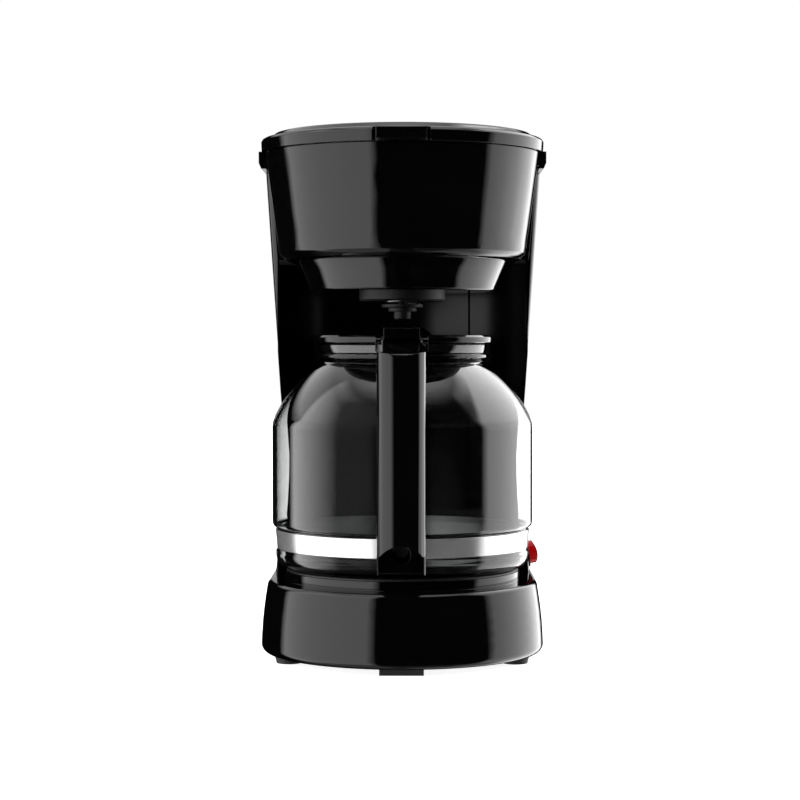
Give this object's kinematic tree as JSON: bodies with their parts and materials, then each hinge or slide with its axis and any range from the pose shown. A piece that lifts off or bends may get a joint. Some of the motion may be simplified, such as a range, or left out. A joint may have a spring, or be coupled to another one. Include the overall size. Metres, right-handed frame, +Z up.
{
  "type": "drip coffee maker",
  "caption": "Glossy black drip coffee maker with a lidded glass carafe on a warming plate, a lift-out filter basket, a rear water tank and a side rocker switch",
  "frame": {"origin": "centre of the footprint at the underside of the feet", "axes": "+Z up, -Y towards the carafe's handle and the user, +X to the right seen from the front"},
  "size_m": [0.1668, 0.2554, 0.3012],
  "materials": {
    "black_plastic": "high-gloss moulded black",
    "satin_plastic": "satin moulded black",
    "black_rubber": "matt moulded rubber",
    "zinc_steel": "zinc plated",
    "spring_steel": "rolled strip",
    "coated_steel": "dark non-stick coating",
    "polished_steel": "polished stainless",
    "aluminium_tube": "extruded and bent",
    "rod_sheath": "heat-dulled sheath",
    "silicone": "translucent silicone",
    "dark_plastic": "moulded phenolic",
    "white_plastic": "ivory moulded",
    "tank_plastic": "natural polypropylene",
    "red_plastic": "glossy translucent red",
    "lead_jacket": "glass-fibre sleeved wire",
    "clear_glass": "clear borosilicate"
  },
  "bodies": {
    "machine": {"base_housing": "black_plastic", "base_cover": "satin_plastic", "rubber_feet": "black_rubber", "cover_screws": "zinc_steel", "warming_plate": "coated_steel", "plate_seal": "silicone", "water_tube": "aluminium_tube", "heating_rod": "rod_sheath", "heater_clamp": "spring_steel", "clamp_nut": "zinc_steel", "thermostat": "dark_plastic", "thermal_fuses": "white_plastic", "cold_hose": "silicone", "hot_hose": "silicone", "hose_clamps": "zinc_steel", "check_valve": "white_plastic", "check_ball": "zinc_steel", "riser_tube": "tank_plastic", "riser_seal": "silicone", "water_tank": "tank_plastic", "tower_lower": "black_plastic", "tower_upper": "black_plastic", "tower_panel": "black_plastic", "top_frame": "black_plastic", "brew_housing": "black_plastic", "funnel_housing": "black_plastic", "switch_body": "dark_plastic", "switch_bezel": "black_plastic", "switch_leads": "lead_jacket", "terminal_block": "white_plastic", "cord_inlet": "satin_plastic"},
    "top_lid": {"lid": "black_plastic", "lid_liner": "satin_plastic", "shower_head": "satin_plastic", "lid_hinge_pins": "zinc_steel"},
    "basket": {"brew_basket": "satin_plastic", "valve_spring": "zinc_steel"},
    "drip_stop": {"drip_valve": "satin_plastic", "valve_seal": "silicone"},
    "rocker": {"switch_rocker": "red_plastic"},
    "carafe": {"carafe_glass": "clear_glass", "steel_band": "polished_steel", "neck_collar": "black_plastic", "carafe_handle": "black_plastic", "handle_screw": "zinc_steel", "carafe_hinge_pin": "zinc_steel"},
    "pouring_lid": {"carafe_lid": "black_plastic"}
  },
  "joints": [
    {"name": "lid_hinge", "type": "hinge", "parent": "machine", "child": "top_lid", "pos_m": [0, 0.1231, 0.2951], "axis": [-1, 0, 0], "range_deg": [0, 95]},
    {"name": "basket_lift", "type": "slide", "parent": "machine", "child": "basket", "axis": [0, 0, 1], "range_m": [0, 0.1]},
    {"name": "drip_stop_slide", "type": "slide", "parent": "basket", "child": "drip_stop", "axis": [0, 0, 1], "range_m": [0, 0.003], "stiffness_N_per_m": 150, "springref_m": -0.006, "deforming": ["valve_spring"]},
    {"name": "carafe_slide", "type": "slide", "parent": "machine", "child": "carafe", "axis": [0, -1, 0], "range_m": [0, 0.35]},
    {"name": "pouring_lid_hinge", "type": "hinge", "parent": "carafe", "child": "pouring_lid", "pos_m": [0, -0.0685, 0.1813], "axis": [1, 0, 0], "range_deg": [0, 25]},
    {"name": "rocker_tilt", "type": "hinge", "parent": "machine", "child": "rocker", "pos_m": [0.0723, 0.0503, 0.0527], "axis": [0, 1, 0], "range_deg": [0, 8]}
  ],
  "couplings": [
    {"joint": "basket_lift", "follows": "lid_hinge", "m_per_rad": 0.058},
    {"joint": "pouring_lid_hinge", "follows": "carafe_slide", "rad_per_m": 1.2}
  ]
}
